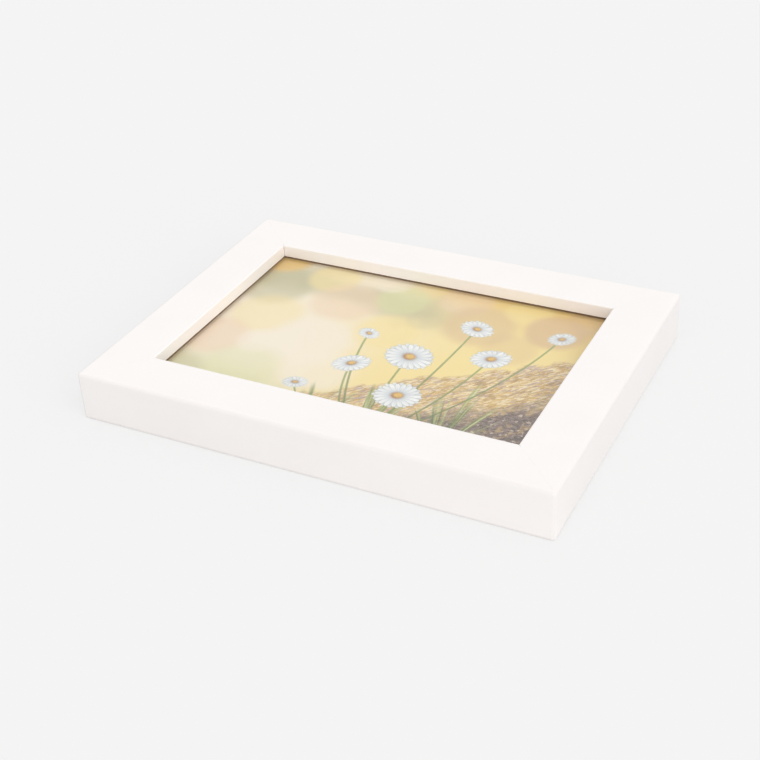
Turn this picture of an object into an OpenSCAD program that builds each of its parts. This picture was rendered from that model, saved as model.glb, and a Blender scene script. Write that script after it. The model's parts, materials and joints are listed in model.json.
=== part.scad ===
// Hanging photo frame for one small print, lying on its back.
// X runs along the long side, Y up the short side and Z from the wall face to the front.
// The origin is the centre of the wall face, which also lies on the table.

/* [Picture] */
// Width of the printed sheet, along X
picture_w = 130; // [115:1:300]
// Height of the printed sheet, along Y
picture_h = 90; // [80:1:200]
// Thickness of the printed sheet
picture_t = 0.3; // [0.2:0.05:0.6]

/* [Frame rails] */
// Width of a rail's front face
rail_w = 17; // [15:0.5:40]
// How far the lip reaches over the rabbet
lip_w = 5.4; // [2:0.1:6]
// Thickness of the lip in front of the glass
lip_t = 4.2; // [2:0.1:8]
// Play round the sheets that lie in the rabbet
rabbet_gap = 0.4; // [0.2:0.1:1]
// Radius of the outer front edges
front_edge_r = 1; // [0.3:0.1:3]
// Radius of the upright edges at the four outer corners
corner_edge_r = 1; // [0.3:0.1:3]
// Radius of the outer edges at the wall face
wall_edge_r = 0.5; // [0.2:0.1:2]
// Radius of the lip's edge round the picture
sight_edge_r = 0.4; // [0.2:0.1:1]

/* [Glass and backing] */
// Thickness of the glass pane
glass_t = 2; // [1:0.1:3]
// Thickness of the card that presses the print to the glass
card_t = 1.5; // [0.8:0.1:3]
// Thickness of the back board
board_t = 3; // [2:0.1:5]
// Depth of the hollow between the back board and the wall
recess_depth = 5; // [4.4:0.1:12]

/* [Swivel tabs] */
// Distance between the pivots of the two tabs on one long side
tab_spacing = 80; // [50:1:100]
// Distance from the board's edge to a tab's pivot
tab_inset = 7; // [5.5:0.5:12]
// Width of a tab
tab_w = 8; // [6:0.5:12]
// Thickness of a tab's steel
tab_t = 0.8; // [0.5:0.1:1.2]
// How far a tab's nose reaches into the groove
tab_engage = 2.2; // [1:0.1:3]
// Height of the finger lip bent up at a tab's tail
tab_lip_h = 1.6; // [0.5:0.1:2.4]

/* [Rivets] */
// Radius of a rivet's shank
rivet_r = 1.5; // [1:0.1:2]
// How far a rivet's domed head reaches past its shank
rivet_head_rim = 1.5; // [1:0.1:2]
// Height of a rivet's domed head
rivet_head_h = 1.1; // [0.6:0.1:1.6]
// How far the clinched end reaches past the shank
clinch_rim = 0.8; // [0.4:0.1:1.4]
// Thickness of the clinched end
clinch_t = 0.5; // [0.3:0.1:1]

/* [Ring hangers] */
// Distance from the board's edge to a ring's axis
hanger_inset = 19; // [15:0.5:24]
// Radius of a ring's wire
wire_r = 0.9; // [0.6:0.05:1]
// Radius of a ring's round end, at the wire's centre
ring_r = 8; // [6:0.25:12]
// Radius of a ring's two bends, at the wire's centre
ring_bend_r = 2; // [1.2:0.1:3]
// Thickness of a hanger strap's steel
strap_t = 0.8; // [0.5:0.1:1.1]
// Distance from the ring's axis to the strap's rivet
strap_reach = 11; // [8:0.5:14]
// Room between the strap's sides and the ring's bends
strap_side_gap = 1; // [0.5:0.1:2]

/* [Corner nails] */
// Length of each wing of a corner nail
nail_wing = 4; // [2:0.1:6]
// Thickness of a corner nail's steel
nail_t = 0.4; // [0.3:0.05:0.6]
// Height of a corner nail
nail_h = 10; // [5:0.5:13]
// Distance of the outer nail from the rails' outer faces
nail_inset = 2.4; // [1.2:0.1:3]
// Distance between the two nails of a corner, along each rail
nail_pitch = 3.6; // [2:0.1:5]

/* [Hidden] */
$fn = 48;

// Overrun of every cut
cut_over = 1;
// Play between a tab and the board, and between a tab and its rivet's head
tab_play = 0.1;
// Running clearance of a tab round its rivet, and of a ring's wire in its strap
pivot_gap = 0.08;
// Clearance of a hole round a rivet that doesn't turn
rivet_gap = 0.05;
// Play of a tab's nose in the groove, above and below it
groove_gap = 0.2;
// Clear space in the groove beyond a tab's nose
groove_end_gap = 0.8;
// Clear space between a tab's tail and the rabbet's wall when the tab is turned round
tail_gap = 0.6;
// How far a ring's lowest point stays off the table
ring_rest_gap = 0.1;
// How deep a corner nail is driven below the wall face
nail_sink = 0.3;

paint = [0.97, 0.96, 0.95];
board_brown = [0.62, 0.48, 0.34];
card_grey = [0.74, 0.72, 0.68];
print_yellow = [0.93, 0.84, 0.62];
glass_tint = [0.85, 0.93, 0.92, 0.35];
tab_steel = [0.72, 0.73, 0.75];
ring_steel = [0.80, 0.78, 0.72];
nail_steel = [0.55, 0.56, 0.58];

// Height of each layer's wall side, and of the frame's front
board_z = recess_depth;
card_z = board_z + board_t;
print_z = card_z + card_t;
glass_z = print_z + picture_t;
lip_z = glass_z + glass_t;
rail_t = lip_z + lip_t;

// The rabbet's size, the sight opening and the whole frame
rabbet_w = picture_w + 2 * rabbet_gap;
rabbet_h = picture_h + 2 * rabbet_gap;
sight_w = rabbet_w - 2 * lip_w;
sight_h = rabbet_h - 2 * lip_w;
frame_w = sight_w + 2 * rail_w;
frame_h = sight_h + 2 * rail_w;
// Width of the rail beside the rabbet
wall_w = rail_w - lip_w;

// A tab's place, its reach from its pivot to its nose and to its tail, and the groove round it
tab_x = tab_spacing / 2;
tab_y = picture_h / 2 - tab_inset;
tab_z = board_z - tab_play - tab_t;
tab_nose = tab_inset + rabbet_gap + tab_engage;
tab_tail = tab_inset + rabbet_gap - tail_gap;
groove_z = tab_z - groove_gap;
groove_h = tab_t + 2 * groove_gap;
groove_depth = tab_engage + groove_end_gap;

rivet_head_r = rivet_r + rivet_head_rim;
clinch_r = rivet_r + clinch_rim;

// A hanger's strap, rolled into a barrel round the straight bar of its ring
barrel_bore_r = wire_r + pivot_gap;
barrel_r = barrel_bore_r + strap_t;
ring_bar = ring_r - ring_bend_r;
strap_w = 2 * (ring_bar - strap_side_gap);
hanger_x = picture_w / 2 - hanger_inset;
hanger_y = picture_h / 2 - hanger_inset;
ring_z = board_z - barrel_r;
// A ring hangs from its strap until its end lies on the table, or straight down over a deep hollow
ring_reach = ring_bend_r + ring_r;
ring_drop = ring_z - wire_r - ring_rest_gap;
ring_droop = asin(min(1, ring_drop / ring_reach));

// What is cut away to round a corner whose material lies towards +X and +Y
module round_cut(r) {
    difference() {
        translate([-cut_over, -cut_over]) square(r + cut_over);
        translate([r, r]) circle(r);
    }
}

// Section of a rail: X from the outer face to the sight edge, Y from the wall face to the front
module rail_section() {
    difference() {
        square([rail_w, rail_t]);
        translate([wall_w, -cut_over]) square([lip_w + cut_over, lip_z + cut_over]);
        translate([wall_w - groove_depth, groove_z]) square([groove_depth + cut_over, groove_h]);
        round_cut(wall_edge_r);
        translate([0, rail_t]) mirror([0, 1]) round_cut(front_edge_r);
        translate([rail_w, rail_t]) rotate(180) round_cut(sight_edge_r);
    }
}

// Plan of a rail between its two mitres, with the outer face on the X axis
module rail_plan(length) {
    far = rail_w + cut_over;
    difference() {
        polygon([
            [-length / 2 - cut_over, -cut_over], [length / 2 + cut_over, -cut_over],
            [length / 2 - far, far], [-length / 2 + far, far]
        ]);
        for (side = [0:1]) mirror([side, 0])
            translate([-length / 2, 0]) round_cut(corner_edge_r);
    }
}

// Both nails of a corner that lies at the origin, each with one wing in either rail
module nail_pair(z_low, z_high) {
    for (i = [0:1]) {
        place = nail_inset + i * nail_pitch;
        translate([place, place, z_low]) linear_extrude(z_high - z_low) {
            square([nail_wing, nail_t]);
            square([nail_t, nail_wing]);
        }
    }
}

// One mitred rail with its outer face on the X axis, and the slots that its nails have cut
module rail(length) {
    color(paint) difference() {
        intersection() {
            translate([-length / 2, 0, 0]) rotate([90, 0, 90])
                linear_extrude(length) rail_section();
            translate([0, 0, -cut_over]) linear_extrude(rail_t + 2 * cut_over)
                rail_plan(length);
        }
        for (side = [0:1]) mirror([side, 0, 0])
            translate([-length / 2, 0, 0]) nail_pair(-cut_over, nail_sink + nail_h);
    }
}

module rail_bottom() {
    translate([0, -frame_h / 2, 0]) rail(frame_w);
}

module rail_top() {
    rotate(180) rail_bottom();
}

module rail_left() {
    translate([-frame_w / 2, 0, 0]) rotate(-90) rail(frame_h);
}

module rail_right() {
    rotate(180) rail_left();
}

// The nails of one corner, where right is 0 or 1 and top is 0 or 1
module corner_nails(right, top) {
    color(nail_steel) mirror([right, 0, 0]) mirror([0, top, 0])
        translate([-frame_w / 2, -frame_h / 2, 0]) nail_pair(nail_sink, nail_sink + nail_h);
}

// A flat sheet of the print's size, from its wall side up
module sheet(z, thickness) {
    translate([-picture_w / 2, -picture_h / 2, z]) cube([picture_w, picture_h, thickness]);
}

module glass_pane() {
    color(glass_tint) sheet(glass_z, glass_t);
}

module printed_sheet() {
    color(print_yellow) sheet(print_z, picture_t);
}

module backing_card() {
    color(card_grey) sheet(card_z, card_t);
}

// A hole through the board for a rivet, with the pocket that its clinched end fills
module rivet_hole() {
    translate([0, 0, board_z - cut_over]) cylinder(r = rivet_r + rivet_gap, h = board_t + 2 * cut_over);
    translate([0, 0, card_z - clinch_t]) cylinder(r = clinch_r + rivet_gap, h = clinch_t + cut_over);
}

module back_board() {
    color(board_brown) difference() {
        sheet(board_z, board_t);
        for (right = [0:1]) for (top = [0:1]) at_tab(right, top) rivet_hole();
        for (portrait = [0:1]) at_strap_rivet(portrait) rivet_hole();
    }
}

// Places a tab or its rivet, where right is 0 or 1 and top is 0 or 1
module at_tab(right, top) {
    mirror([1 - right, 0, 0]) mirror([0, 1 - top, 0]) translate([tab_x, tab_y, 0]) children();
}

// Outline of a tab round its pivot, with the nose towards +Y
module tab_plan() {
    difference() {
        union() {
            translate([-tab_w / 2, -tab_tail]) square([tab_w, tab_tail + tab_nose - tab_w / 2]);
            translate([0, tab_nose - tab_w / 2]) circle(tab_w / 2);
        }
        circle(rivet_r + pivot_gap);
    }
}

module swivel_tab(right, top) {
    color(tab_steel) at_tab(right, top) {
        translate([0, 0, tab_z]) linear_extrude(tab_t) tab_plan();
        translate([-tab_w / 2, -tab_tail, tab_z - tab_lip_h]) cube([tab_w, tab_t, tab_lip_h + tab_t]);
    }
}

// A domed rivet whose head bears at z = 0 and whose clinched end closes at z = grip
module rivet(grip) {
    dome_r = (rivet_head_r * rivet_head_r + rivet_head_h * rivet_head_h) / (2 * rivet_head_h);
    rotate_extrude() {
        intersection() {
            translate([0, dome_r - rivet_head_h]) circle(dome_r);
            translate([0, -rivet_head_h]) square([rivet_head_r, rivet_head_h]);
        }
        square([rivet_r, grip]);
        translate([0, grip - clinch_t]) square([clinch_r, clinch_t]);
    }
}

module tab_rivet(right, top) {
    color(nail_steel) at_tab(right, top)
        translate([0, 0, tab_z - tab_play]) rivet(card_z - tab_z + tab_play);
}

// Places a hanger's ring axis: portrait is 0 at the long top side, 1 at the right-hand side
module at_hanger(portrait) {
    turn = -90 * portrait;
    reach = portrait == 1 ? hanger_x : hanger_y;
    rotate(turn) translate([0, reach, 0]) children();
}

module at_strap_rivet(portrait) {
    at_hanger(portrait) translate([0, -strap_reach, 0]) children();
}

module hanger_strap(portrait) {
    strap_z = board_z - strap_t;
    color(ring_steel) at_hanger(portrait) difference() {
        union() {
            translate([-strap_w / 2, 0, ring_z]) rotate([90, 0, 90]) linear_extrude(strap_w) {
                circle(barrel_r);
                translate([-strap_reach, barrel_r - strap_t]) square([strap_reach, strap_t]);
            }
            translate([0, -strap_reach, strap_z]) cylinder(r = strap_w / 2, h = strap_t);
        }
        translate([-strap_w / 2 - cut_over, 0, ring_z]) rotate([0, 90, 0])
            cylinder(r = barrel_bore_r, h = strap_w + 2 * cut_over);
        translate([0, -strap_reach, strap_z - cut_over])
            cylinder(r = rivet_r + rivet_gap, h = strap_t + 2 * cut_over);
    }
}

// Bent wire ring in the XY plane, with its straight bar along X through the origin
module ring_wire() {
    translate([-ring_bar, 0, 0]) rotate([0, 90, 0]) cylinder(r = wire_r, h = 2 * ring_bar);
    for (side = [0:1]) mirror([side, 0, 0])
        translate([ring_bar, ring_bend_r, 0]) rotate(-90)
            rotate_extrude(angle = 90) translate([ring_bend_r, 0]) circle(wire_r);
    translate([0, ring_bend_r, 0])
        rotate_extrude(angle = 180) translate([ring_r, 0]) circle(wire_r);
}

module hanger_ring(portrait) {
    color(ring_steel) at_hanger(portrait) translate([0, 0, ring_z])
        rotate([-ring_droop, 0, 0]) ring_wire();
}

module hanger_rivet(portrait) {
    color(nail_steel) at_strap_rivet(portrait)
        translate([0, 0, board_z - strap_t]) rivet(board_t + strap_t);
}

rail_top();
rail_bottom();
rail_left();
rail_right();
corner_nails(0, 1);  // corner_nails_top_left
corner_nails(1, 1);  // corner_nails_top_right
corner_nails(0, 0);  // corner_nails_bottom_left
corner_nails(1, 0);  // corner_nails_bottom_right
glass_pane();
printed_sheet();
backing_card();
back_board();
swivel_tab(0, 1);  // swivel_tab_top_left
swivel_tab(1, 1);  // swivel_tab_top_right
swivel_tab(0, 0);  // swivel_tab_bottom_left
swivel_tab(1, 0);  // swivel_tab_bottom_right
tab_rivet(0, 1);  // tab_rivet_top_left
tab_rivet(1, 1);  // tab_rivet_top_right
tab_rivet(0, 0);  // tab_rivet_bottom_left
tab_rivet(1, 0);  // tab_rivet_bottom_right
hanger_strap(0);  // hanger_strap_landscape
hanger_strap(1);  // hanger_strap_portrait
hanger_ring(0);  // hanger_ring_landscape
hanger_ring(1);  // hanger_ring_portrait
hanger_rivet(0);  // hanger_rivet_landscape
hanger_rivet(1);  // hanger_rivet_portrait
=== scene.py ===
import json
import math

import bmesh
import bpy
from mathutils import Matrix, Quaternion, Vector


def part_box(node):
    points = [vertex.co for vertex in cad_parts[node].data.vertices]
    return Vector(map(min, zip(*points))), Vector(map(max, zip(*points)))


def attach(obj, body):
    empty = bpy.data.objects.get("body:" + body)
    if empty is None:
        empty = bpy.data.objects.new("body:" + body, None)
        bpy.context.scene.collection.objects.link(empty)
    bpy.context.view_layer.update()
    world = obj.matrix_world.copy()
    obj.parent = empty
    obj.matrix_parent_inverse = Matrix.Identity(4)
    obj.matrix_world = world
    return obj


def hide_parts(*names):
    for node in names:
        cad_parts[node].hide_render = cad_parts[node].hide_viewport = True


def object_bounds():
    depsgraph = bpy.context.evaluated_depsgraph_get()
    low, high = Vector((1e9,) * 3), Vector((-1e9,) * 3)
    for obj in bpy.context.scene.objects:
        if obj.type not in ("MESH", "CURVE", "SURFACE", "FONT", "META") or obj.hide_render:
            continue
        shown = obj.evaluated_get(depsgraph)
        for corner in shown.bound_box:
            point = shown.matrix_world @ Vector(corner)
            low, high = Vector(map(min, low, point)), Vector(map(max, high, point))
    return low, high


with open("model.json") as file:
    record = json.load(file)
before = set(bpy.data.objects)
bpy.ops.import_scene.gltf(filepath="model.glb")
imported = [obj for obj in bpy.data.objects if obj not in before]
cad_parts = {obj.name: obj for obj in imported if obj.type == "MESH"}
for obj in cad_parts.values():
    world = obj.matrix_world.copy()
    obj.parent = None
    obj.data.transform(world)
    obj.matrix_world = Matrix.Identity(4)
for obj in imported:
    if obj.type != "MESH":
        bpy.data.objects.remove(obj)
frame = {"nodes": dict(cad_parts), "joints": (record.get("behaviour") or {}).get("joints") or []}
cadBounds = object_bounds()
nodes = frame["nodes"]
joints = {joint["name"]: joint for joint in frame["joints"]}
mm = 0.001
corners = {"bottom_left": (0, 0), "bottom_right": (1, 0), "top_left": (0, 1), "top_right": (1, 1)}
sides = {"top": (0, 1), "bottom": (0, -1), "left": (-1, 0), "right": (1, 0)}
print("Loaded the packed frame:", len(nodes), "nodes")


# Bench tools for modelling

def clearSelection():
    if bpy.context.mode != "OBJECT":
        bpy.ops.object.mode_set(mode="OBJECT")
    bpy.ops.object.select_all(action="DESELECT")


def takeUp(piece):
    clearSelection()
    piece.select_set(True)
    bpy.context.view_layer.objects.active = piece


def settle():
    # puts the active piece's place, turn and scale into its mesh
    bpy.ops.object.transform_apply(location=True, rotation=True, scale=True)


def nameNew(name):
    piece = bpy.context.active_object
    piece.name = name
    piece.data.name = name
    settle()
    return piece


def addBox(name, low, high):
    clearSelection()
    bpy.ops.mesh.primitive_cube_add(size=1, location=(low + high) / 2, scale=high - low)
    return nameNew(name)


def copyOf(piece, name):
    takeUp(piece)
    bpy.ops.object.duplicate()
    return nameNew(name)


def move(piece, shift=(0, 0, 0), turn=0, axis="Z"):
    # turns a finished piece about the origin and then shifts it
    takeUp(piece)
    piece.rotation_euler["XYZ".index(axis)] = turn
    piece.location = shift
    settle()


def discard(piece):
    takeUp(piece)
    bpy.ops.object.delete()


def openMesh(piece):
    takeUp(piece)
    bpy.ops.object.mode_set(mode="EDIT")


def pick(piece, kind, test):
    # selects the points, edges or faces that pass the test, in edit mode
    bpy.ops.mesh.select_mode(type=kind)
    bpy.ops.mesh.select_all(action="DESELECT")
    cage = bmesh.from_edit_mesh(piece.data)
    for item in {"VERT": cage.verts, "EDGE": cage.edges, "FACE": cage.faces}[kind]:
        item.select_set(bool(test(item)))
    cage.select_flush_mode()
    bmesh.update_edit_mesh(piece.data)


def middle(item):
    return sum((point.co for point in item.verts), Vector()) / len(item.verts)


def near(value, wanted, slack=0.01 * mm):
    return abs(value - wanted) < slack


def beyond(spot, limits):
    # how far a spot lies outside a rectangle round the middle, less than zero inside it
    return max(abs(spot.x) - limits.x, abs(spot.y) - limits.y)


def meetsUpright(edge):
    return any(abs(face.normal.z) < 0.5 for face in edge.link_faces)


def turnFacesOut():
    bpy.ops.mesh.select_all(action="SELECT")
    bpy.ops.mesh.normals_make_consistent(inside=False)


def sliceAt(place, normal, **settings):
    bpy.ops.mesh.bisect(plane_co=place, plane_no=normal, threshold=0.001 * mm, **settings)


def roundOff(piece, radius, segments, test):
    pick(piece, "EDGE", test)
    bpy.ops.mesh.bevel(offset=radius, segments=segments, affect="EDGES")


def applyModifier(piece, kind, **settings):
    takeUp(piece)
    modifier = piece.modifiers.new(kind.title(), kind)
    for name, value in settings.items():
        setattr(modifier, name, value)
    bpy.ops.object.modifier_apply(modifier=modifier.name)


def cutAway(piece, cutter):
    applyModifier(piece, "BOOLEAN", operation="DIFFERENCE", object=cutter, solver="EXACT")


def smoothOut(piece, angle=35):
    # merges doubles, turns all faces outwards and shades the rounded edges smooth
    openMesh(piece)
    bpy.ops.mesh.select_all(action="SELECT")
    bpy.ops.mesh.remove_doubles(threshold=0.002 * mm)
    turnFacesOut()
    bpy.ops.object.mode_set(mode="OBJECT")
    bpy.ops.object.shade_smooth_by_angle(angle=math.radians(angle))
    applyModifier(piece, "WEIGHTED_NORMAL", keep_sharp=True)


def fit(piece, body, slot, material, *replaced):
    # hangs a finished piece on its body, with its finish and the nodes that it stands for
    piece.data.materials.clear()
    piece.data.materials.append(material)
    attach(piece, body)
    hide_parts(*replaced)


# Bench tools for materials

def paint(red, green, blue):
    # a screen colour, 0 to 255, as the linear colour that shaders take
    parts = [value / 255 for value in (red, green, blue)]
    return tuple(p / 12.92 if p < 0.04045 else ((p + 0.055) / 1.055) ** 2.4 for p in parts) + (1,)


class Wire:
    # one output socket, so that sums on sockets are written as sums
    def __init__(self, recipe, socket):
        self.recipe = recipe
        self.socket = socket

    def out(self, name):
        # another output of the same node
        return Wire(self.recipe, self.socket.node.outputs[name])

    def __add__(self, other):
        return self.recipe.calc("ADD", self, other)

    def __radd__(self, other):
        return self.recipe.calc("ADD", other, self)

    def __sub__(self, other):
        return self.recipe.calc("SUBTRACT", self, other)

    def __rsub__(self, other):
        return self.recipe.calc("SUBTRACT", other, self)

    def __mul__(self, other):
        return self.recipe.calc("MULTIPLY", self, other)

    def __rmul__(self, other):
        return self.recipe.calc("MULTIPLY", other, self)

    def __truediv__(self, other):
        return self.recipe.calc("DIVIDE", self, other)


def setStops(ramp, stops):
    while len(ramp.elements) < len(stops):
        ramp.elements.new(1)
    for element, (place, colour) in zip(ramp.elements, stops):
        element.position = place
        element.color = colour


class Recipe:
    # a node tree and the few ways in which this script adds to it
    def __init__(self, owner):
        owner.use_nodes = True
        self.owner = owner
        self.tree = owner.node_tree
        self.tree.nodes.clear()

    def node(self, kind, settings=None, sockets=None, out=0):
        made = self.tree.nodes.new("ShaderNode" + kind)
        for name, value in (settings or {}).items():
            if name == "stops":
                setStops(made.color_ramp, value)
            else:
                setattr(made, name, value)
        for name, value in (sockets or {}).items():
            if isinstance(value, Wire):
                self.tree.links.new(value.socket, made.inputs[name])
            else:
                made.inputs[name].default_value = value
        return Wire(self, made.outputs[out]) if made.outputs else made

    def calc(self, operation, first, second=0.0):
        return self.node("Math", {"operation": operation}, {0: first, 1: second})

    def blend(self, factor, first, second, mode="MIX"):
        return self.node("Mix", {"data_type": "RGBA", "blend_type": mode},
                         {0: factor, 6: first, 7: second}, 2)

    def ramp(self, factor, *stops):
        return self.node("ValToRGB", {"stops": stops}, {"Fac": factor})

    def fade(self, value, low, high):
        # 0 below low and 1 above high, or the other way round where low is the larger
        return self.node("MapRange", {"interpolation_type": "SMOOTHSTEP"},
                         {"Value": value, "From Min": low, "From Max": high})

    def spot(self, place, at=(0, 0, 0), size=(1, 1, 1), turn=0):
        # the place measured from a spot, in units of size, in axes turned by an angle
        return self.node("Mapping", {"vector_type": "TEXTURE"}, {
            "Vector": place, "Location": at, "Rotation": (0, 0, math.radians(turn)), "Scale": size})

    def millimetres(self):
        # object coordinates in millimetres
        where = self.node("TexCoord", out=3)
        return self.node("Mapping", {}, {"Vector": where, "Scale": (1000, 1000, 1000)})

    def noise(self, place, size, detail=3, roughness=0.5, warp=0):
        return self.node("TexNoise", {}, {"Vector": place, "Scale": 1 / size, "Detail": detail,
                                          "Roughness": roughness, "Distortion": warp})

    def cells(self, place, size, feature="F1", out=0):
        return self.node("TexVoronoi", {"feature": feature}, {"Vector": place, "Scale": 1 / size}, out)

    def split(self, vector):
        parts = self.node("SeparateXYZ", {}, {"Vector": vector})
        return [parts.out(name) for name in "XYZ"]

    def grey(self, level):
        return self.node("CombineColor", {}, {0: level, 1: level, 2: level})

    def bump(self, height, strength, depth):
        return self.node("Bump", {}, {"Height": height, "Strength": strength, "Distance": depth * mm})

    def surface(self, sockets):
        return self.node("BsdfPrincipled", {}, sockets)

    def finish(self, shader, kind="OutputMaterial"):
        self.node(kind, {}, {"Surface": shader})
        return self.owner


def newRecipe(name):
    return Recipe(bpy.data.materials.new(name))


# Finishes

lacquer = {
    "colour": (0.972, 0.936, 0.920, 1),
    "shade": (0.962, 0.925, 0.908, 1),
    "wearAndShadeTone": (0.905, 0.862, 0.835, 1),  # where the coat is rubbed thin along the edges, and painted contact shade along the lower edge that meets the floor
    "edgeRadius": 1.0,   # mm
    "roughness": 0.42,
    "peelSize": 0.5,     # mm across one dimple of the sprayed lacquer
    "peelDepth": 0.004,  # mm
}


def whiteLacquer():
    r = newRecipe("white_lacquer")
    place = r.millimetres()
    drift = r.noise(place, 18, 2)
    peel = r.noise(place, lacquer["peelSize"], 2, 0.4)
    nibs = r.fade(r.cells(place, 2.6), 0.05, 0.0)
    tone = r.blend(r.fade(drift, 0.35, 0.65), lacquer["colour"], lacquer["shade"])
    # a spot is on an edge where it lies within the radius of two of the outer faces
    radius = lacquer["edgeRadius"]
    corner = [value / mm - radius for value in cadBounds[1]]
    x, y, z = r.split(place)
    overX = r.calc("ABSOLUTE", x) - corner[0]
    overY = r.calc("ABSOLUTE", y) - corner[1]
    overFlat = r.calc("MAXIMUM", z - corner[2], cadBounds[0].z / mm + radius - z)
    onRim = r.calc("MINIMUM", r.calc("MAXIMUM", overX, overY), overFlat)
    both = r.calc("MAXIMUM", r.calc("MINIMUM", overX, overY), onRim)
    # worn edges along the top and the corners, and painted contact shade along the lower edge that rests on
    # the floor
    wearAndContactShade = r.fade(both, 0, 0.6 * radius) * (0.7 + 0.6 * r.noise(place, 5, 3))
    return r.finish(r.surface({
        "Base Color": r.blend(0.8 * wearAndContactShade, tone, lacquer["wearAndShadeTone"]),
        "Roughness": lacquer["roughness"] + 0.12 * (drift - 0.5) + 0.1 * wearAndContactShade,
        "Specular IOR Level": 0.4,
        "Normal": r.bump(peel + 0.6 * nibs, 0.35, lacquer["peelDepth"]),
    }))


fibre = {
    "colour": paint(196, 164, 124),
    "dark": paint(150, 116, 82),
    "pale": paint(222, 196, 160),
}


def rawFibreboard():
    r = newRecipe("raw_fibreboard")
    place = r.millimetres()
    hair = r.noise(r.spot(place, size=(0.9, 0.2, 0.2), turn=24), 1, 4, 0.6, 0.6)
    crumb = r.cells(place, 0.45)
    tone = r.ramp(hair, (0.3, fibre["dark"]), (0.52, fibre["colour"]), (0.75, fibre["pale"]))
    return r.finish(r.surface({
        "Base Color": r.blend(0.25 * r.fade(crumb, 0.5, 0.1), tone, fibre["dark"]),
        "Roughness": 0.88 - 0.15 * hair,
        "Normal": r.bump(hair + 0.5 * crumb, 0.6, 0.05),
    }))


hardboard = {
    "colour": paint(158, 122, 86),
    "dark": paint(112, 82, 56),
    "pale": paint(190, 156, 116),
    "screenPitch": 1.1,  # mm between the wires that pressed the board
}


def pressedHardboard():
    r = newRecipe("pressed_hardboard")
    place = r.millimetres()
    x, y = r.split(place)[:2]
    strands = r.noise(r.spot(place, size=(1.6, 0.25, 0.5), turn=-35), 1, 5, 0.65, 1.2)
    across = r.noise(r.spot(place, size=(1.6, 0.25, 0.5), turn=50), 1, 5, 0.65, 1.2)
    mottle = r.noise(place, 9, 3)
    hair = 0.5 * (strands + across)
    tone = r.ramp(hair, (0.32, hardboard["dark"]), (0.5, hardboard["colour"]), (0.7, hardboard["pale"]))
    turnsPerMm = 2 * math.pi / hardboard["screenPitch"]
    screen = r.calc("SINE", x * turnsPerMm) * r.calc("SINE", y * turnsPerMm)
    return r.finish(r.surface({
        "Base Color": r.blend(0.35 * r.fade(mottle, 0.4, 0.7), tone, hardboard["dark"]),
        "Roughness": 0.7 + 0.2 * (hair - 0.5),
        "Normal": r.bump(0.5 * screen + hair, 0.5, 0.06),
    }))


card = {
    "colour": paint(186, 181, 172),
    "dark": paint(150, 145, 136),
    "fleck": paint(112, 104, 94),
}


def greyCard():
    r = newRecipe("grey_card")
    place = r.millimetres()
    pulp = r.noise(r.spot(place, size=(0.8, 0.3, 0.3), turn=12), 1, 5, 0.7)
    fleck = r.fade(r.cells(place, 1.3), 0.12, 0.04)
    tone = r.ramp(pulp, (0.35, card["dark"]), (0.65, card["colour"]))
    return r.finish(r.surface({
        "Base Color": r.blend(0.5 * fleck, tone, card["fleck"]),
        "Roughness": 0.85 + 0.1 * (pulp - 0.5),
        "Normal": r.bump(pulp, 0.4, 0.03),
    }))


# mottle is the size of the steel's patches and marks the depth of its scratches, in mm
steels = {
    "zinc_plated": {"colour": paint(214, 216, 218), "roughness": 0.34, "mottle": 1.8, "marks": 0.006},
    "nickel_plated": {"colour": paint(224, 219, 209), "roughness": 0.2, "mottle": 2.6, "marks": 0.004},
    "rivet_plated": {"colour": paint(204, 204, 206), "roughness": 0.28, "mottle": 1.2, "marks": 0.005},
    "blued_steel": {"colour": paint(138, 140, 146), "roughness": 0.42, "mottle": 0.9, "marks": 0.01},
}
tarnish = paint(150, 148, 144)


def platedSteel(name):
    steel = steels[name]
    r = newRecipe(name)
    place = r.millimetres()
    patch = r.split(r.cells(place, steel["mottle"], out=1))[0]
    drag = r.noise(r.spot(place, size=(3, 0.12, 0.12), turn=8), 1, 3, 0.6)
    dull = r.noise(place, 3, 4)
    return r.finish(r.surface({
        "Base Color": r.blend(0.12 * patch + 0.1 * dull, steel["colour"], tarnish),
        "Metallic": 1.0,
        "Roughness": steel["roughness"] + 0.1 * (patch - 0.5) + 0.15 * (dull - 0.5),
        "Normal": r.bump(drag + 0.3 * dull, 0.35, steel["marks"]),
    }))


glass = {
    "colour": (0.985, 1.0, 0.992, 1),
    "edge": paint(196, 222, 212),
    "edgePale": paint(226, 240, 234),
}


def clearGlass():
    # the pane bends and mirrors sight, and lets the light for what lies under it straight through
    r = newRecipe("clear_glass")
    pane = r.surface({
        "Base Color": glass["colour"],
        "Roughness": 0.0,
        "IOR": 1.5,
        "Transmission Weight": 1.0,
    })
    path = r.node("LightPath")
    passing = r.calc("MAXIMUM", path.out("Is Shadow Ray"), path.out("Is Diffuse Ray"))
    return r.finish(r.node("MixShader", {}, {0: passing, 1: pane, 2: r.node("BsdfTransparent")}))


def groundEdge():
    r = newRecipe("ground_glass_edge")
    place = r.millimetres()
    grind = r.noise(place, 0.15, 3)
    return r.finish(r.surface({
        "Base Color": r.blend(grind, glass["edge"], glass["edgePale"]),
        "Roughness": 0.5 + 0.2 * grind,
        "Normal": r.bump(grind, 0.5, 0.02),
    }))


# The print: daisies on a dry summer slope, in front of a garden that is out of focus

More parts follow.
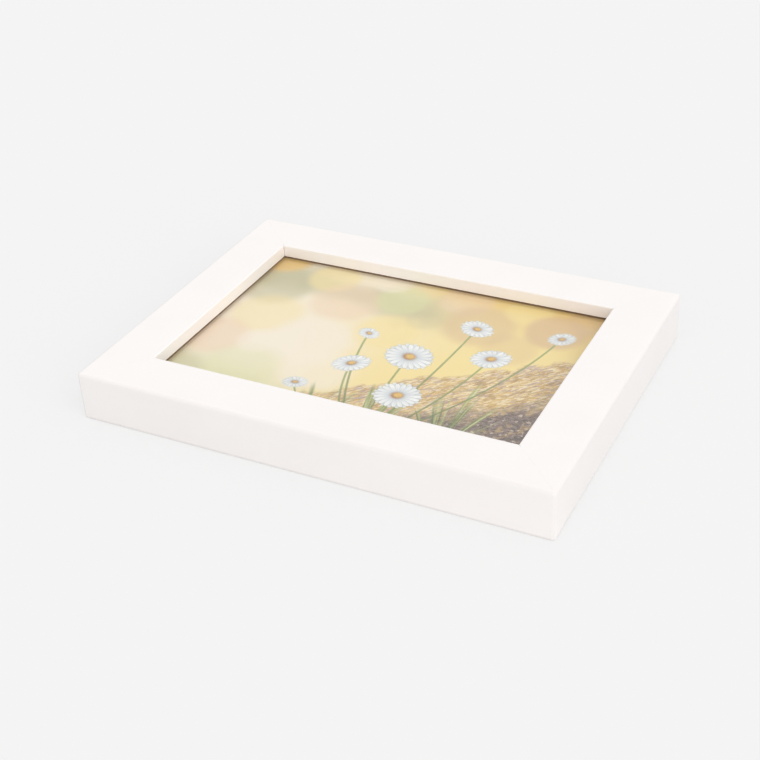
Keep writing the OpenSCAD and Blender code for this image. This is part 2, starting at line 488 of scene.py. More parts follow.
picture = {
    "haze": paint(250, 236, 214),
    "straw": paint(250, 224, 146),
    "ochre": paint(236, 192, 98),
    "sand": paint(222, 184, 134),
    "olive": paint(190, 180, 132),
    "lawn": paint(222, 220, 156),
    "peach": paint(242, 208, 172),
    "slopeGold": paint(222, 182, 104),
    "slopePale": paint(250, 232, 194),
    "slopeLilac": paint(186, 158, 164),
    "slopeBrown": paint(158, 118, 74),
    "soil": paint(136, 112, 102),
    "soilDark": paint(78, 60, 56),
    "soilPale": paint(226, 206, 188),
    "petal": paint(252, 251, 248),
    "petalShade": paint(190, 197, 204),
    "petalGap": paint(128, 130, 112),
    "eye": paint(244, 200, 92),
    "eyeDark": paint(172, 112, 48),
    "blade": paint(150, 166, 88),
    "bladePale": paint(214, 222, 156),
    "bladeDark": paint(92, 104, 62),
    # the painted shadow that the lip casts on the print: its colour and where it falls
    "lipShadow": paint(128, 80, 4),
    "lipShadowStart": 0.05,   # mm under the lip at which its painted shadow begins
    "lipShadowFull": 0.55,
    "lipShadowEnd": 2.2,      # further in, no sight reaches through the glass
    "nearLipShadeShare": 0.24,   # how much of that painted shadow the visible strip along the lip takes
    "nearLipShadeStart": -2.4,
    "nearLipShadeFull": 0.2,
    "paper": paint(242, 240, 234),
}

# soft discs of light: x, y, radius and softness in mm, colour and strength
lights = [
    (-52, 22, 12, 3, "olive", 0.6), (-36, 33, 9, 2, "straw", 0.6), (-46, 4, 12, 3, "straw", 0.5),
    (-25, 20, 12, 3, "peach", 0.55), (-25, -6, 14, 4, "haze", 0.75), (-8, 28, 9, 2, "lawn", 0.6),
    (-55, -14, 11, 3, "peach", 0.6), (-38, -28, 13, 4, "lawn", 0.4), (-14, -22, 11, 3, "haze", 0.6),
    (-58, -36, 10, 3, "olive", 0.4), (-40, -12, 7, 1.5, "haze", 0.5), (-9, -38, 8, 2, "straw", 0.5),
    (-4, 8, 10, 3, "straw", 0.7), (12, 35, 9, 2, "peach", 0.55), (22, 22, 12, 3, "sand", 0.6),
    (-16, 38, 7, 1.5, "haze", 0.5), (-58, 40, 9, 2.5, "ochre", 0.9), (34, 36, 8, 2, "straw", 0.6),
    (46, 27, 10, 2, "sand", 0.8), (56, 38, 9, 2, "sand", 0.5), (36, 12, 9, 2.5, "sand", 0.4),
    (4, 19, 6, 1.5, "olive", 0.2),
]

# blooms, the far ones first: x, y and radius in mm, turn in degrees, squash, petals and softness
blooms = [
    (-17, -29, 4.2, 12, 0.72, 15, 0.5), (49, 24, 4.6, 30, 0.8, 15, 0.45), (-9, 5, 4.0, -24, 0.75, 15, 0.4),
    (33, 5, 6.6, 24, 0.82, 17, 0.14), (-6, -13, 6.4, 34, 0.74, 17, 0.12), (22, 20, 6.0, -20, 0.8, 17, 0.14),
    (9, -3, 8.6, -16, 0.84, 19, 0.07), (15, -24, 7.8, 8, 0.88, 19, 0.07),
]

# tufts of grass: x and y of the root, height and spread in mm and degrees, seed and softness
tufts = [
    (-4, -52, 34, 46, 3, 0.12), (36, -50, 44, 40, 17, 0.1), (13, -54, 40, 50, 9, 0.05),
]

stemRoot = (13, -54)


def backdrop(r, place, x, y):
    # the garden out of focus: warm haze, a far hedge and discs of light
    slow = r.noise(place, 46, 2, 0.4)
    tone = r.blend(r.fade(x + 50 * (slow - 0.5), -45, 25), picture["haze"], picture["straw"])
    tone = r.blend(0.7 * r.fade(y + 0.35 * x + 30 * (slow - 0.5), 26, 56), tone, picture["ochre"])
    hedge = r.noise(place, 24, 3, 0.5)
    rise = y - 20 + 0.1 * x - 22 * (hedge - 0.5)
    band = r.fade(rise, -9, 3) * r.fade(rise, 17, 6) * r.fade(x, 26, -4)
    tone = r.blend(0.75 * band, tone, picture["olive"])
    tone = r.blend(0.5 * r.fade(y + 14 * (slow - 0.5) + 0.1 * x, -24, -40), tone, picture["lawn"])
    for spotX, spotY, radius, soft, colour, strength in lights:
        away = r.node("VectorMath", {"operation": "DISTANCE"}, {0: place, 1: (spotX, spotY, 0)}, 1)
        tone = r.blend(strength * r.fade(away, radius + soft, radius - soft), tone, picture[colour])
    return tone


def drySlope(r, place, x, y, tone):
    # dry grass on a slope that climbs from the lower edge to the right one, with bare soil at its foot
    drift = r.noise(place, 13, 3)
    clump = r.noise(r.spot(place, size=(1, 1.8, 1), turn=-40), 3.4, 3, 0.6)
    fine = r.noise(place, 1.6, 4, 0.6)
    depth = 0.66 * x - y - 25 + 13 * (drift - 0.5) + 5 * (clump - 0.5) + 2.4 * (fine - 0.5)
    straws = r.noise(r.spot(place, size=(0.45, 3.4, 1), turn=-34), 1, 4, 0.6, 0.5)
    cross = r.noise(r.spot(place, size=(0.42, 2.6, 1), turn=-64), 1, 3, 0.6, 0.4)
    gold = r.ramp(straws, (0.32, picture["slopeBrown"]), (0.46, picture["slopeGold"]),
                  (0.56, picture["slopeGold"]), (0.68, picture["slopePale"]))
    gold = r.blend(0.55 * r.fade(clump, 0.48, 0.3), gold, picture["slopeBrown"])
    gold = r.blend(0.8 * r.fade(cross + 0.4 * (clump - 0.5), 0.52, 0.62), gold, picture["slopePale"])
    chaff = r.split(r.cells(r.spot(place, size=(0.5, 2.2, 1), turn=-42), 1, out=1))
    specks = r.fade(chaff[0], 0.76, 0.8) * r.fade(drift, 0.3, 0.5)
    gold = r.blend(0.6 * specks, gold, picture["slopeLilac"])
    gold = r.blend(0.6 * r.fade(chaff[1], 0.8, 0.84), gold, picture["slopePale"])
    gold = r.blend(0.4 * r.fade(chaff[2], 0.8, 0.84), gold, picture["slopeBrown"])
    crumbs = r.noise(place, 1.2, 4, 0.75)
    pebbles = r.split(r.cells(place, 0.8, out=1))
    soil = r.ramp(crumbs, (0.34, picture["soilDark"]), (0.5, picture["soil"]),
                  (0.6, picture["soil"]), (0.7, picture["soilPale"]))
    soil = r.blend(0.6 * r.fade(cross, 0.56, 0.66), soil, picture["soilPale"])
    soil = r.blend(0.7 * r.fade(pebbles[1], 0.9, 0.93), soil, picture["soilPale"])
    soil = r.blend(0.5 * r.fade(pebbles[0], 0.8, 0.85), soil, picture["soilDark"])
    soil = r.blend(0.5 * r.fade(straws, 0.5, 0.4), soil, picture["soilDark"])
    soil = r.blend(0.5 * r.fade(clump, 0.5, 0.64), soil, picture["slopeGold"])
    foot = depth - 26 + 22 * (drift - 0.5) + 4 * (fine - 0.5)
    ground = r.blend(r.fade(foot, -7, 7), gold, soil)
    return r.blend(r.fade(depth, -1.5, 1.5), tone, ground)


def grassTuft(r, x, y, tone, rootX, rootY, height, spread, seed, soft):
    # blades that fan out from one root and grow thinner towards their tips
    overX = x - rootX
    overY = y - rootY
    reach = r.calc("SQRT", overX * overX + overY * overY) / height
    lean = r.calc("ARCTAN2", overX, overY)
    fan = lean * (1 - 0.25 * reach) * 16
    strand = r.node("CombineXYZ", {}, {"X": fan, "Y": reach * 0.7, "Z": seed})
    blades = r.noise(strand, 1, 2, 0.5)
    half = math.radians(spread)
    aside = r.calc("ABSOLUTE", lean)
    tall = r.calc("MAXIMUM", 1 - 0.5 * aside / half, 0.3)
    bar = 0.4 + 0.3 * reach / tall
    tint = r.ramp(r.noise(strand, 0.45, 2, 0.6), (0.35, picture["bladeDark"]), (0.5, picture["blade"]),
                  (0.66, picture["bladePale"]))
    mask = r.fade(blades - bar, -soft, soft) * r.fade(reach / tall, 1, 0.8)
    mask = mask * r.fade(aside, half * 1.1, half * 0.8)
    return r.blend(0.85 * mask, tone, tint)


def stem(r, x, y, tone, topX, topY):
    # a stem that bends from under a bloom down to the common root
    rootX, rootY = stemRoot
    fall = (topY - y) / (topY - rootY)
    off = r.calc("ABSOLUTE", x - topX - (rootX - topX) * fall * (0.35 + 0.65 * fall))
    green = r.blend(fall, picture["blade"], picture["bladeDark"])
    return r.blend(0.85 * r.fade(off, 0.5, 0.22) * r.fade(fall, 0, 0.02), tone, green)


def petalRing(r, tone, angle, out, petals, twist, length, soft, shadow):
    # petals round a bloom, no two alike in length, tilt or light
    pitch = 2 * math.pi / petals
    turned = angle / pitch + twist
    number = r.calc("FLOOR", turned)
    share = r.calc("FLOORED_MODULO", number, petals) + 31 * twist + petals
    chance = r.node("TexWhiteNoise", {"noise_dimensions": "1D"}, {"W": share})
    across = (turned - number - 0.5 + 0.22 * (chance - 0.5)) * out / 0.34
    along = (out - length * 0.52) / (length * (0.43 + 0.07 * chance))
    edge = along * along * along * along + across * across
    light = r.fade(along, -1, 0.6) * (0.7 + 0.3 * chance) - 0.4 * r.fade(across, 0.1, 1)
    light = light - 0.12 * r.calc("COSINE", across * 8)
    white = r.blend(light - shadow, picture["petalShade"], picture["petal"])
    tone = r.blend((0.4 - shadow) * r.fade(edge, 1.9, 0.9), tone, picture["petalGap"])
    return r.blend(r.fade(edge, 1 + soft, 1 - soft), tone, white)


def bloom(r, place, tone, spotX, spotY, radius, turn, squash, petals, soft):
    local = r.spot(place, (spotX, spotY, 0), (radius, radius * squash, 1), turn)
    u, v = r.split(local)[:2]
    out = r.node("VectorMath", {"operation": "LENGTH"}, {0: local}, 1)
    angle = r.calc("ARCTAN2", v, u)
    tone = petalRing(r, tone, angle, out, petals, 0.5, 1.0, 2.5 * soft, 0.3)
    tone = petalRing(r, tone, angle, out, petals, 0.0, 0.93, 2.5 * soft, 0.0)
    florets = r.cells(local, 0.055)
    dome = r.fade(out - 0.3 * v - 0.2 * u, 0.05, 0.3)
    eyeTone = r.blend(dome * 0.8 + 0.3 * r.fade(florets, 0.2, 0.7), picture["eye"], picture["eyeDark"])
    tone = r.blend(0.35 * r.fade(out, 0.38, 0.24), tone, picture["eyeDark"])
    return r.blend(r.fade(out, 0.25 + soft / 3, 0.22 - soft / 3), tone, eyeTone)


def printedPaper():
    r = newRecipe("printed_paper")
    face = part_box("printed_sheet")[1].z / mm
    place = r.millimetres()
    x, y, z = r.split(place)
    flat = r.node("CombineXYZ", {}, {"X": x, "Y": y})
    tone = backdrop(r, flat, x, y)
    tone = drySlope(r, flat, x, y, tone)
    for row in tufts[:2]:
        tone = grassTuft(r, x, y, tone, *row)
    for row in blooms:
        tone = stem(r, x, y, tone, row[0], row[1])
    for row in tufts[2:]:
        tone = grassTuft(r, x, y, tone, *row)
    for row in blooms:
        tone = bloom(r, flat, tone, *row)
    grain = r.noise(flat, 0.25, 2, 0.5)
    tone = r.blend(0.1, tone, r.grey(grain), "SOFT_LIGHT")
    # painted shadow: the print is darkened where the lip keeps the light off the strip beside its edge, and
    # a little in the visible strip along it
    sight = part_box("rail_right")[0].x / mm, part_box("rail_top")[0].y / mm
    covered = r.calc("MAXIMUM", r.calc("ABSOLUTE", x) - sight[0], r.calc("ABSOLUTE", y) - sight[1])
    inSight = r.fade(covered, picture["lipShadowEnd"], picture["lipShadowEnd"] - 0.3)
    dark = r.fade(covered, picture["lipShadowStart"], picture["lipShadowFull"])
    band = picture["nearLipShadeShare"] * r.fade(covered, picture["nearLipShadeStart"], picture["nearLipShadeFull"])
    tone = r.blend(band * inSight, tone, picture["lipShadow"])
    tone = r.blend(dark * inSight, tone, picture["lipShadow"])
    return r.finish(r.surface({
        "Base Color": r.blend(r.fade(z, face - 0.01, face - 0.02), tone, picture["paper"]),
        "Roughness": 0.45 + 0.1 * grain,
        "Normal": r.bump(grain, 0.1, 0.01),
    }))


finishes = {
    "lacquer": whiteLacquer(),
    "fibre": rawFibreboard(),
    "hardboard": pressedHardboard(),
    "card": greyCard(),
    "print": printedPaper(),
    "glass": clearGlass(),
    "groundEdge": groundEdge(),
    "zinc": platedSteel("zinc_plated"),
    "nickel": platedSteel("nickel_plated"),
    "rivet": platedSteel("rivet_plated"),
    "nail": platedSteel("blued_steel"),
}
print("Mixed", len(finishes), "finishes")


# Corner nails: two V-shaped steel strips in every corner, driven in from the wall side

nails = {
    "wing": 4 * mm,
    "steel": 0.4 * mm,
    "inset": 2.4 * mm,   # of the outer nail from the rails' outer faces
    "pitch": 3.6 * mm,
    "slotPlay": 0.04 * mm,
    "slotOverrun": 1 * mm,
    "crown": 0.06 * mm,
    "crownSteps": 2,
}


def vNail(name, corner, low, high, play):
    # one V strip whose bend points to the frame's lower left corner
    steel = nails["steel"]
    shift = Vector((play, play, play))
    strip = addBox(name, corner + Vector((0, 0, low)) - shift,
                   corner + Vector((nails["wing"], steel, high)) + shift)
    openMesh(strip)
    bpy.ops.mesh.select_all(action="SELECT")
    sliceAt(corner + Vector((steel + play, 0, 0)), (1, 0, 0))
    pick(strip, "FACE", lambda face: face.normal.y > 0.9 and middle(face).x < corner.x + steel + play)
    bpy.ops.mesh.extrude_region_move(TRANSFORM_OT_translate={"value": (0, nails["wing"] - steel, 0)})
    return strip


def joined(name, pieces):
    takeUp(pieces[0])
    for piece in pieces:
        piece.select_set(True)
    bpy.ops.object.join()
    return nameNew(name)


def nailPair(name, play=0, over=0):
    low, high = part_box("corner_nails_bottom_left")
    outer = cadBounds[0]
    strips = []
    for turn in range(2):
        inward = nails["inset"] + turn * nails["pitch"]
        corner = Vector((outer.x + inward, outer.y + inward, 0))
        strips.append(vNail(name + "_strip_" + str(turn), corner, low.z - over, high.z, play))
    return joined(name, strips)


def mirrored(piece, name, right, top):
    # a copy for another corner: mirrored across the middle of the frame, with its faces turned back out
    copy = copyOf(piece, name)
    copy.scale = (-1 if right else 1, -1 if top else 1, 1)
    settle()
    openMesh(copy)
    turnFacesOut()
    bpy.ops.object.mode_set(mode="OBJECT")
    return copy


def cornerNails():
    pair = nailPair("nail_pair")
    openMesh(pair)
    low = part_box("corner_nails_bottom_left")[0].z
    roundOff(pair, nails["crown"], nails["crownSteps"],
             lambda edge: near(middle(edge).z, low) and meetsUpright(edge))
    smoothOut(pair)
    for corner, (right, top) in corners.items():
        copy = mirrored(pair, "v_nails_" + corner, right, top)
        fit(copy, "frame", "nail_steel", finishes["nail"], "corner_nails_" + corner)
    discard(pair)


cornerNails()
print("Drove the corner nails")


# Sheet steel, of which tabs and straps are bent

sheet = {
    "steel": 0.8 * mm,
    "arris": 0.1 * mm,
    "arrisSteps": 2,
    "sharpAngle": 50,    # degrees between two faces from which their edge is an arris
    "smoothAngle": 30,
    "endShare": 0.998,   # of the half width that rounds an end
    "drillSides": 40,
}


def sheetStrip(name, low, high, endY, steps):
    # a flat strip with one round end
    def atEnd(edge):
        spot = middle(edge)
        return near(spot.y, endY) and near(spot.z, (low.z + high.z) / 2)

    strip = addBox(name, low, high)
    openMesh(strip)
    roundOff(strip, (high.x - low.x) / 2 * sheet["endShare"], steps, atEnd)
    return strip


def drillStrip(strip, spot, radius):
    # breaks the arrises of a bent strip and drills it
    bpy.ops.object.mode_set(mode="OBJECT")
    smoothOut(strip, sheet["smoothAngle"])
    applyModifier(strip, "BEVEL", width=sheet["arris"], segments=sheet["arrisSteps"],
                  limit_method="ANGLE", angle_limit=math.radians(sheet["sharpAngle"]))
    clearSelection()
    bpy.ops.mesh.primitive_cylinder_add(vertices=sheet["drillSides"], radius=radius,
                                        depth=4 * sheet["steel"], location=spot)
    drill = nameNew("drill")
    cutAway(strip, drill)
    discard(drill)
    smoothOut(strip, sheet["smoothAngle"])


# Rails: one moulded ring, slotted for the nails and cut at the mitres

rails = {
    "rabbetPlay": 0.4 * mm,  # round the glass
    "frontRadius": 1 * mm,
    "frontSteps": 6,
    "wallRadius": 0.5 * mm,
    "wallSteps": 5,
    "sightRadius": 0.4 * mm,
    "sightSteps": 4,
    "lipArris": 0.12 * mm,
    "arrisSteps": 2,
    "kerfDepth": 3 * mm,
    "kerfPlay": 0.2 * mm,
    "mitreGap": 0.008 * mm,
    "mitreArea": 20 * mm * mm,  # a slanted face above this size is a mitre
    "openJoint": 0.18 * mm,  # how far the mitres stand open in the lip's corners
    "wallJoint": 0.1 * mm,   # and on the wall face
}


def mouldedRing():
    low, high = cadBounds
    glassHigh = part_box("glass_pane")[1]
    sight = Vector((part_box("rail_right")[0].x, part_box("rail_top")[0].y))
    rabbet = Vector((glassHigh.x + rails["rabbetPlay"], glassHigh.y + rails["rabbetPlay"], glassHigh.z))
    rim = high.y - rabbet.y
    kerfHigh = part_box("swivel_tab_top_left")[1].z + rails["kerfPlay"]
    kerfLow = kerfHigh - sheet["steel"] - 2 * rails["kerfPlay"]
    ring = addBox("moulded_ring", low, high)
    openMesh(ring)
    pick(ring, "FACE", lambda face: face.normal.z < -0.9)
    bpy.ops.mesh.inset(thickness=rim)
    bpy.ops.mesh.extrude_region_move(TRANSFORM_OT_translate={"value": (0, 0, rabbet.z)})
    bpy.ops.mesh.inset(thickness=rabbet.y - sight.y)
    pick(ring, "FACE", lambda face: face.normal.z > 0.9)
    bpy.ops.mesh.inset(thickness=high.y - sight.y)
    pick(ring, "FACE", lambda face: abs(face.normal.z) > 0.9 and middle(face).xy.length < mm)
    bpy.ops.mesh.bridge_edge_loops()

    def onRabbet(face):
        spot = middle(face)
        return abs(face.normal.z) < 0.1 and spot.z < rabbet.z and beyond(spot, rabbet) < 0.01 * mm

    for level in (kerfLow, kerfHigh):
        pick(ring, "FACE", onRabbet)
        sliceAt((0, 0, level), (0, 0, 1))
    pick(ring, "FACE", lambda face: onRabbet(face) and kerfLow < middle(face).z < kerfHigh)
    bpy.ops.mesh.extrude_region()
    depth = rails["kerfDepth"]
    widening = (1 + depth / rabbet.x, 1 + depth / rabbet.y, 1)
    bpy.ops.transform.resize(value=widening, center_override=(0, 0, 0))

    def onFrontEdge(edge):
        spot = middle(edge)
        atCorner = near(abs(spot.x), high.x) and near(abs(spot.y), high.y)
        return atCorner or near(spot.z, high.z) and near(beyond(spot, high), 0)

    def onWallEdge(edge):
        spot = middle(edge)
        return near(spot.z, low.z) and meetsUpright(edge) and beyond(spot, rabbet) > rim / 2

    def onSightEdge(edge, level):
        return near(middle(edge).z, level) and near(beyond(middle(edge), sight), 0)

    roundOff(ring, rails["frontRadius"], rails["frontSteps"], onFrontEdge)
    roundOff(ring, rails["wallRadius"], rails["wallSteps"], onWallEdge)
    roundOff(ring, rails["sightRadius"], rails["sightSteps"], lambda edge: onSightEdge(edge, high.z))
    roundOff(ring, rails["lipArris"], rails["arrisSteps"], lambda edge: onSightEdge(edge, rabbet.z))
    turnFacesOut()
    bpy.ops.object.mode_set(mode="OBJECT")
    return ring, rabbet, sight


def cutMitre(rail, corner, keep):
    bpy.ops.mesh.select_all(action="SELECT")
    start = corner + keep.normalized() * rails["mitreGap"] / 2
    sliceAt(start, keep, use_fill=True, clear_inner=True)
    pick(rail, "FACE", lambda face: face.normal.dot(keep.normalized()) < -0.99)
    bpy.ops.mesh.dissolve_faces()


def cutNailSlots(ring):
    slots = nailPair("nail_slots", nails["slotPlay"], nails["slotOverrun"])
    for corner, (right, top) in corners.items():
        cutter = mirrored(slots, "slots_" + corner, right, top)
        cutAway(ring, cutter)
        discard(cutter)
    discard(slots)


def bareInside(rail, rabbet):
    # the coat ends at the lip, so the rabbet, the kerf and the mitres are raw
    rail.data.materials.append(finishes["fibre"])
    for face in rail.data.polygons:
        inside = beyond(face.center, rabbet) < rails["kerfDepth"] + rails["lipArris"] / 2
        behindLip = inside and rails["lipArris"] < face.center.z < rabbet.z + rails["lipArris"] / 6
        slanted = near(abs(face.normal.x), abs(face.normal.y), 0.01) and abs(face.normal.z) < 0.1
        if behindLip or slanted and face.area > rails["mitreArea"]:
            face.material_index = 1


def mitredRail(ring, side, out, rabbet, sight):
    # out is the way in which the rail's outer face looks
    wall, outer = cadBounds

    def onMitre(spot, slack):
        return near(abs(spot.x) - sight.x, abs(spot.y) - sight.y, slack)

    def inLipCorner(edge):
        spot = middle(edge)
        inCorner = spot.z > rabbet.z and beyond(spot, sight) < rails["sightRadius"]
        return inCorner and onMitre(spot, rails["lipArris"])

    def onWallJoint(edge):
        spot = middle(edge)
        return near(spot.z, wall.z) and onMitre(spot, rails["mitreGap"])

    rail = copyOf(ring, "white_rail_" + side)
    along = out.cross(Vector((0, 0, 1)))
    openMesh(rail)
    for way in (along, -along):
        corner = Vector(((out.x - way.x) * outer.x, (out.y - way.y) * outer.y, 0))
        cutMitre(rail, corner, out + way)
    roundOff(rail, rails["openJoint"], 1, inLipCorner)
    roundOff(rail, rails["wallJoint"], 1, onWallJoint)
    smoothOut(rail)
    fit(rail, "frame", "rail_lacquer", finishes["lacquer"], "rail_" + side)
    bareInside(rail, rabbet)


def fourRails():
    ring, rabbet, sight = mouldedRing()
    cutNailSlots(ring)
    for side, (x, y) in sides.items():
        mitredRail(ring, side, Vector((x, y, 0)), rabbet, sight)
    discard(ring)


fourRails()
print("Cut the four rails")


# Glass, print, card and back board

glazing = {
    "lift": 0.02 * mm,   # keeps the pane's faces off the print and the lip
    "arris": 0.25 * mm,
    "arrisSteps": 2,
}


def glassPane():
    low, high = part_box("glass_pane")
    lift = Vector((0, 0, glazing["lift"]))
    pane = addBox("clear_pane", low + lift, high - lift)
    openMesh(pane)
    roundOff(pane, glazing["arris"], glazing["arrisSteps"], lambda edge: True)
    smoothOut(pane)
    fit(pane, "frame", "clear_glass", finishes["glass"], "glass_pane")
    pane.data.materials.append(finishes["groundEdge"])
    for face in pane.data.polygons:
        face.material_index = 0 if abs(face.normal.z) > 0.99 else 1


def dress(node, material):
    nodes[node].data.materials.clear()
    nodes[node].data.materials.append(material)


glassPane()
dress("printed_sheet", finishes["print"])
dress("backing_card", finishes["card"])
dress("back_board", finishes["hardboard"])
print("Laid in the glass, the print, the card and the board")


# Rivets: a domed head, a shank through the board and a clinched end

rivets = {
    "shankRadius": 1.5 * mm,
    "clinchRadius": 2.3 * mm,
    "clinchSteel": 0.5 * mm,
    "headHeight": 1.1 * mm,
    "rim": 0.12 * mm,    # the upright edge of the head
    "sides": 40,
    "domeSteps": 48,
    "smoothAngle": 50,   # degrees
}


def domedRivet(name, node):
    low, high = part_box(node)
    centre = (low + high) / 2
    headRadius = (high.x - low.x) / 2
    domeHeight = rivets["headHeight"] - rivets["rim"]
    domeRadius = (headRadius ** 2 + domeHeight ** 2) / (2 * domeHeight)
    seat = low.z + rivets["headHeight"]
    clearSelection()
    bpy.ops.mesh.primitive_uv_sphere_add(
        segments=rivets["sides"], ring_count=rivets["domeSteps"], radius=domeRadius,
        location=(centre.x, centre.y, low.z + domeRadius))
    piece = nameNew(name)
    openMesh(piece)
    bpy.ops.mesh.select_all(action="SELECT")
    sliceAt((0, 0, low.z + domeHeight), (0, 0, 1), use_fill=True, clear_outer=True)
    pick(piece, "FACE", lambda face: face.normal.z > 0.99)
    bpy.ops.mesh.dissolve_faces()
    bpy.ops.mesh.extrude_region_move(TRANSFORM_OT_translate={"value": (0, 0, rivets["rim"])})
    bpy.ops.mesh.inset(thickness=headRadius - rivets["shankRadius"])
    bpy.ops.mesh.extrude_region_move(
        TRANSFORM_OT_translate={"value": (0, 0, high.z - rivets["clinchSteel"] - seat)})
    flare = rivets["clinchRadius"] / rivets["shankRadius"]
    bpy.ops.mesh.extrude_region()
    bpy.ops.transform.resize(value=(flare, flare, 1), center_override=(centre.x, centre.y, 0))
    bpy.ops.mesh.extrude_region_move(TRANSFORM_OT_translate={"value": (0, 0, rivets["clinchSteel"])})
    smoothOut(piece, rivets["smoothAngle"])
    return piece


def allRivets():
    for corner in corners:
        rivet = domedRivet("domed_rivet_" + corner, "tab_rivet_" + corner)
        fit(rivet, "frame", "rivet_steel", finishes["rivet"], "tab_rivet_" + corner)
    for way in ("landscape", "portrait"):
        rivet = domedRivet("strap_rivet_" + way, "hanger_rivet_" + way)
        fit(rivet, "frame", "rivet_steel", finishes["rivet"], "hanger_rivet_" + way)


allRivets()
print("Set the rivets")


# Swivel tabs: a pressed steel strip with a round nose and a finger lip bent up at its tail

tabs = {
    "holeRadius": 1.58 * mm,
    "bendRadius": 0.35 * mm,
    "bendSteps": 6,
    "noseSteps": 14,
}


def swivelTab():
    low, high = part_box("swivel_tab_top_right")
    pivot = Vector(joints["tab_top_right_turn"]["pos_m"])
    steel = sheet["steel"]
    bend = tabs["bendRadius"]
    bendY = low.y + steel + bend
    bendZ = high.z - steel - bend
    start = Vector((low.x, bendY, high.z - steel))
    tab = sheetStrip("turned_tab", start, high, high.y, tabs["noseSteps"])
    pick(tab, "FACE", lambda face: face.normal.y < -0.9)
    bpy.ops.mesh.spin(steps=tabs["bendSteps"], angle=math.radians(90), center=(0, bendY, bendZ),
                      axis=(-1, 0, 0))
    bpy.ops.mesh.extrude_region_move(TRANSFORM_OT_translate={"value": (0, 0, low.z - bendZ)})
    drillStrip(tab, (pivot.x, pivot.y, high.z - steel / 2), tabs["holeRadius"])
    return tab


def allTabs():
    tab = swivelTab()
    spacing = 2 * joints["tab_top_right_turn"]["pos_m"][0]
    for corner, (right, top) in corners.items():
        copy = copyOf(tab, "turn_tab_" + corner)
        # the lower tabs are the upper ones turned half round, so left and right change places
        move(copy, (0 if right == top else -spacing, 0, 0))
        move(copy, turn=0 if top else math.pi)
        fit(copy, "tab_" + corner, "zinc_steel", finishes["zinc"], "swivel_tab_" + corner)
    discard(tab)


allTabs()
print("Fitted the swivel tabs")


# Hangers: a steel strap rolled round the straight bar of a bent wire ring

hangers = {
    "roll": 300,         # degrees that the strap is rolled round the bar
    "rollSteps": 30,
    "endSteps": 16,
    "holeRadius": 1.55 * mm,
    "wireRadius": 0.9 * mm,
    "wireSides": 20,
    "ringRadius": 8 * mm,
    "ringSteps": 40,
    "bendRadius": 2 * mm,
    "bendSteps": 10,
    "jointGap": 0.1 * mm,
    "droop": 12.8,       # degrees
    "smoothAngle": 50,
}


def rolledStrap():
    low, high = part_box("hanger_strap_landscape")
    axis = Vector(joints["ring_landscape_swing"]["pos_m"])
    rivetLow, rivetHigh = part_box("hanger_rivet_landscape")
    steel = sheet["steel"]
    start = Vector((low.x, low.y, high.z - steel))
    strap = sheetStrip("rolled_strap", start, Vector((high.x, axis.y, high.z)), low.y, hangers["endSteps"])
    pick(strap, "FACE", lambda face: face.normal.y > 0.9)
    bpy.ops.mesh.spin(steps=hangers["rollSteps"], angle=math.radians(hangers["roll"]), center=axis,
                      axis=(1, 0, 0))
    drillStrip(strap, (0, (rivetLow.y + rivetHigh.y) / 2, high.z - steel / 2), hangers["holeRadius"])
    return strap


def wireRing():
    # bent in the plane of its bar, from the middle of the bar once round and back
    bend = hangers["bendRadius"]
    bendSteps = hangers["bendSteps"]
    bar = hangers["ringRadius"] - bend
    gap = hangers["jointGap"] / 2
    clearSelection()
    bpy.ops.mesh.primitive_circle_add(
        vertices=hangers["wireSides"], radius=hangers["wireRadius"], fill_type="NGON",
        location=(gap, 0, 0), rotation=(0, math.pi / 2, 0))
    ring = nameNew("wire_ring")
    openMesh(ring)
    bpy.ops.mesh.select_all(action="SELECT")
    bpy.ops.mesh.extrude_region_move(TRANSFORM_OT_translate={"value": (bar - gap, 0, 0)})
    turns = (bendSteps, 90, bar), (hangers["ringSteps"], 180, 0), (bendSteps, 90, -bar)
    for steps, angle, bendX in turns:
        bpy.ops.mesh.spin(steps=steps, angle=math.radians(angle), center=(bendX, bend, 0),
                          axis=(0, 0, -1))
    bpy.ops.mesh.extrude_region_move(TRANSFORM_OT_translate={"value": (bar - gap, 0, 0)})
    bpy.ops.object.mode_set(mode="OBJECT")
    smoothOut(ring, hangers["smoothAngle"])
    move(ring, turn=-math.radians(hangers["droop"]), axis="X")
    return ring


def allHangers():
    strap = rolledStrap()
    ring = wireRing()
    move(ring, joints["ring_landscape_swing"]["pos_m"])
    reach = joints["ring_portrait_swing"]["pos_m"][0] - joints["ring_landscape_swing"]["pos_m"][1]
    for way, turn, shift in (("landscape", 0, 0), ("portrait", -math.pi / 2, reach)):
        for piece, name, body, slot, finish in (
                (strap, "strap_", "frame", "zinc_steel", "zinc"),
                (ring, "ring_", "ring_" + way, "nickel_wire", "nickel")):
            copy = copyOf(piece, "hanging_" + name + way)
            move(copy, (shift, 0, 0), turn)
            fit(copy, body, slot, finishes[finish], "hanger_" + name + way)
    discard(strap)
    discard(ring)


allHangers()
print("Hung the rings")


# Floor, light and camera

studio = {
    "floorSize": 12,         # metres
    "floorDrop": 0.02 * mm,  # keeps the floor off the wall face
    "footprintInset": 0.5 * mm,
    "seenShade": 0.896,      # the pale ground that sight and mirrors meet
    "bounceShade": 0.67,     # the floor as the object's sides see it
    "bounceGain": 0.11,      # painted light: how much paler it grows in front of the front face, as the sides see it
    "gainStart": 0.8,        # the share of the way to that face at which it begins
    "shadowFade": 0.55,      # how far the floor's shadow is lightened
    "skyLevel": 0.88,
    "sunLevel": 0.85,
    "sunSpread": 60,         # degrees
    "sunFrom": (0.3, -0.2, 0.222),
}


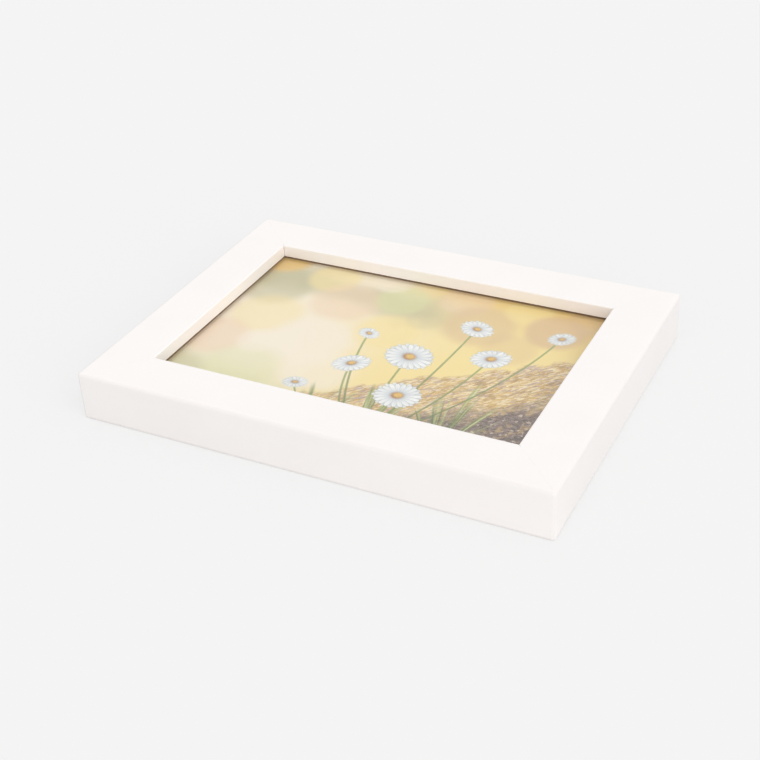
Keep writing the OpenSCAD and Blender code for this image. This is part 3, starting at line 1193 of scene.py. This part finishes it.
def paleFloor():
    # from below, sight passes through it, and light too where the frame stands
    clearSelection()
    bpy.ops.mesh.primitive_plane_add(size=studio["floorSize"], location=(0, 0, -studio["floorDrop"]))
    floor = nameNew("floor")
    r = newRecipe("pale_floor")
    place = r.node("TexCoord", out=3)
    x, y = r.split(place)[:2]
    inset = studio["footprintInset"]
    inX = r.calc("LESS_THAN", r.calc("ABSOLUTE", x), cadBounds[1].x - inset)
    inY = r.calc("LESS_THAN", r.calc("ABSOLUTE", y), cadBounds[1].y - inset)
    path = r.node("LightPath")
    seen = path.out("Is Camera Ray")
    sight = r.calc("MAXIMUM", path.out("Is Diffuse Ray"), path.out("Is Glossy Ray"))
    throughHole = inX * inY * r.calc("MAXIMUM", path.out("Is Shadow Ray"), sight)
    clear = r.calc("MAXIMUM", r.node("NewGeometry").out("Backfacing"), throughHole)
    # painted light: the floor, as the object sees it but not the camera, grows paler in front of the long
    # face towards the right, so that face brightens towards its right
    front = cadBounds[0].y
    paintedLightPool = r.fade(x, -cadBounds[1].x, cadBounds[1].x) * r.fade(y, studio["gainStart"] * front, front)
    bounce = studio["bounceShade"] + studio["bounceGain"] * paintedLightPool
    shade = bounce + seen * (studio["seenShade"] - bounce)
    matte = r.node("BsdfDiffuse", {}, {"Color": r.grey(shade)})
    glow = r.node("Emission", {}, {"Color": r.grey(studio["seenShade"]), "Strength": 1.0})
    lit = r.node("MixShader", {}, {0: studio["shadowFade"] * seen, 1: matte, 2: glow})
    floor.data.materials.append(r.finish(
        r.node("MixShader", {}, {0: clear, 1: lit, 2: r.node("BsdfTransparent")})))


def softLight():
    world = bpy.data.worlds.new("studio")
    bpy.context.scene.world = world
    r = Recipe(world)
    path = r.node("LightPath")
    seen = path.out("Is Camera Ray")
    for name in ("Is Glossy Ray", "Is Transmission Ray"):
        seen = r.calc("MAXIMUM", seen, path.out(name))
    level = studio["skyLevel"] + seen * (studio["seenShade"] - studio["skyLevel"])
    r.finish(r.node("Background", {}, {"Color": (1, 1, 1, 1), "Strength": level}), "OutputWorld")
    clearSelection()
    bpy.ops.object.light_add(type="SUN")
    sun = bpy.context.active_object
    sun.name = "wide_lamp"
    sun.rotation_euler = Vector(studio["sunFrom"]).to_track_quat("Z", "Y").to_euler()
    sun.data.energy = studio["sunLevel"]
    sun.data.angle = math.radians(studio["sunSpread"])
    sun.visible_glossy = False   # its mirror image would hide the print


view = {
    "place": Vector((172.9, -327.4, 235.8)) * mm,
    "aim": Vector((4.4, -14.4, 8)) * mm,
    "roll": -3.34,       # degrees
    "lens": 65.4,
    "sensor": 36,
}


def addCamera():
    clearSelection()
    bpy.ops.object.camera_add(location=view["place"])
    camera = bpy.context.active_object
    camera.name = "camera"
    towards = (view["aim"] - view["place"]).to_track_quat("-Z", "Y")
    camera.rotation_mode = "QUATERNION"
    camera.rotation_quaternion = towards @ Quaternion((0, 0, 1), math.radians(view["roll"]))
    camera.data.lens = view["lens"]
    camera.data.sensor_width = view["sensor"]
    camera.data.clip_start = mm
    camera.data.clip_end = 2 * studio["floorSize"]
    bpy.context.scene.camera = camera


paleFloor()
softLight()
addCamera()
bpy.context.scene.view_settings.view_transform = "Standard"
print("Set the floor, the light and the camera")
